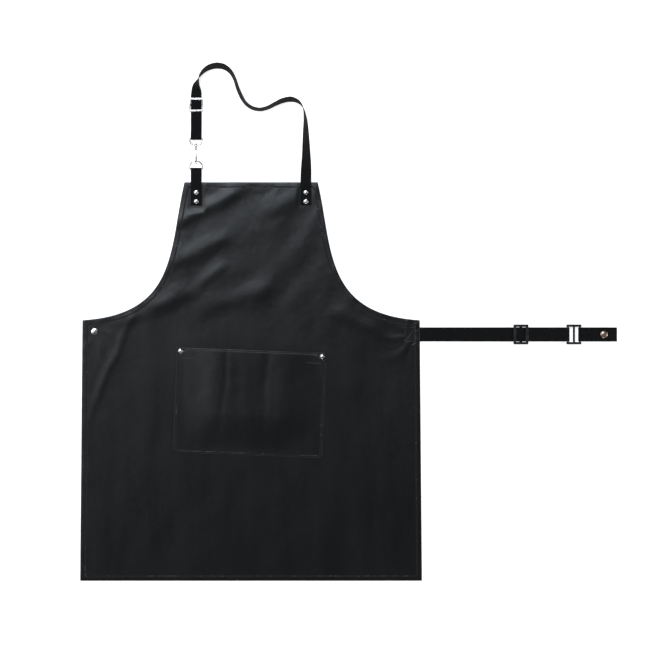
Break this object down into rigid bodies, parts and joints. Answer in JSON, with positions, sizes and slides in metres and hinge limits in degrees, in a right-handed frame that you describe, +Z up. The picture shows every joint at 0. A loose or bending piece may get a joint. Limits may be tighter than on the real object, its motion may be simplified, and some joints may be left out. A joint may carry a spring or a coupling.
{
  "type": "bib apron",
  "caption": "Black leatherette bib apron with a patch pocket, a clip-on adjustable neck strap and an adjustable waist strap with a press stud.",
  "frame": {"origin": "middle of the bottom hem's underside, on the surface that the apron lies on, front face up", "axes": "+X across the apron towards the waist strap, +Y from the hem to the neck strap, +Z up out of the front face"},
  "size_m": [0.944, 0.9099, 0.0195],
  "materials": {
    "leatherette": "smooth semi-gloss coated leatherette with fine grain and soft creases",
    "webbing": "tightly woven matt webbing with ribbed edges",
    "nickel": "bright nickel plate",
    "snap_cap": "warm nickel-copper plate",
    "black_plastic": "black moulded acetal, slightly glossy"
  },
  "bodies": {
    "apron": {"apron_panel": "leatherette", "pocket": "leatherette", "pocket_rivet_left": "nickel", "pocket_rivet_right": "nickel", "neck_strap": "webbing", "neck_strap_rivet_upper": "nickel", "neck_strap_rivet_lower": "nickel", "neck_tab": "webbing", "neck_tab_rivet_upper": "nickel", "neck_tab_rivet_lower": "nickel", "hook_eye": "nickel", "waist_strap_root": "webbing", "waist_stud": "nickel", "waist_stud_post": "nickel"},
    "neck_slider": {"neck_slider": "nickel"},
    "d_ring": {"d_ring": "nickel"},
    "snap_hook": {"snap_hook": "nickel", "hook_gate_pin": "nickel"},
    "hook_gate": {"hook_gate": "nickel"},
    "waist_strap": {"waist_strap": "webbing"},
    "waist_slider": {"waist_slider": "black_plastic"},
    "waist_loop": {"waist_loop": "black_plastic"},
    "waist_tab": {"waist_tab": "webbing", "snap_cap": "snap_cap", "snap_socket": "nickel"}
  },
  "joints": [
    {"name": "waist_strap_fold", "type": "hinge", "parent": "apron", "child": "waist_strap", "pos_m": [0.3003, 0.428, 0.0013], "axis": [0, -1, 0], "range_deg": [0, 150]},
    {"name": "waist_slider_slide", "type": "slide", "parent": "waist_strap", "child": "waist_slider", "axis": [1, 0, 0], "range_m": [-0.055, 0.04]},
    {"name": "waist_loop_pivot", "type": "hinge", "parent": "waist_strap", "child": "waist_loop", "pos_m": [0.558, 0.428, 0.003], "axis": [0, -1, 0], "range_deg": [0, 90]},
    {"name": "waist_tab_pivot", "type": "hinge", "parent": "waist_loop", "child": "waist_tab", "pos_m": [0.579, 0.428, 0.003], "axis": [0, -1, 0], "range_deg": [0, 80]},
    {"name": "neck_slider_slide", "type": "slide", "parent": "apron", "child": "neck_slider", "axis": [0, 1, 0], "range_m": [-0.022, 0]},
    {"name": "d_ring_rock", "type": "hinge", "parent": "apron", "child": "d_ring", "pos_m": [-0.0965, 0.719, 0.0034], "axis": [1, 0, 0], "range_deg": [-3, 3]},
    {"name": "hook_swivel", "type": "hinge", "parent": "apron", "child": "snap_hook", "pos_m": [-0.0965, 0.755, 0.0065], "axis": [0, 1, 0], "range_deg": [-15, 15]},
    {"name": "hook_gate_hinge", "type": "hinge", "parent": "snap_hook", "child": "hook_gate", "pos_m": [-0.0965, 0.74746, 0.0112], "axis": [1, 0, 0], "range_deg": [0, 18], "stiffness_Nm_per_rad": 0.01, "springref_deg": -5.73}
  ]
}
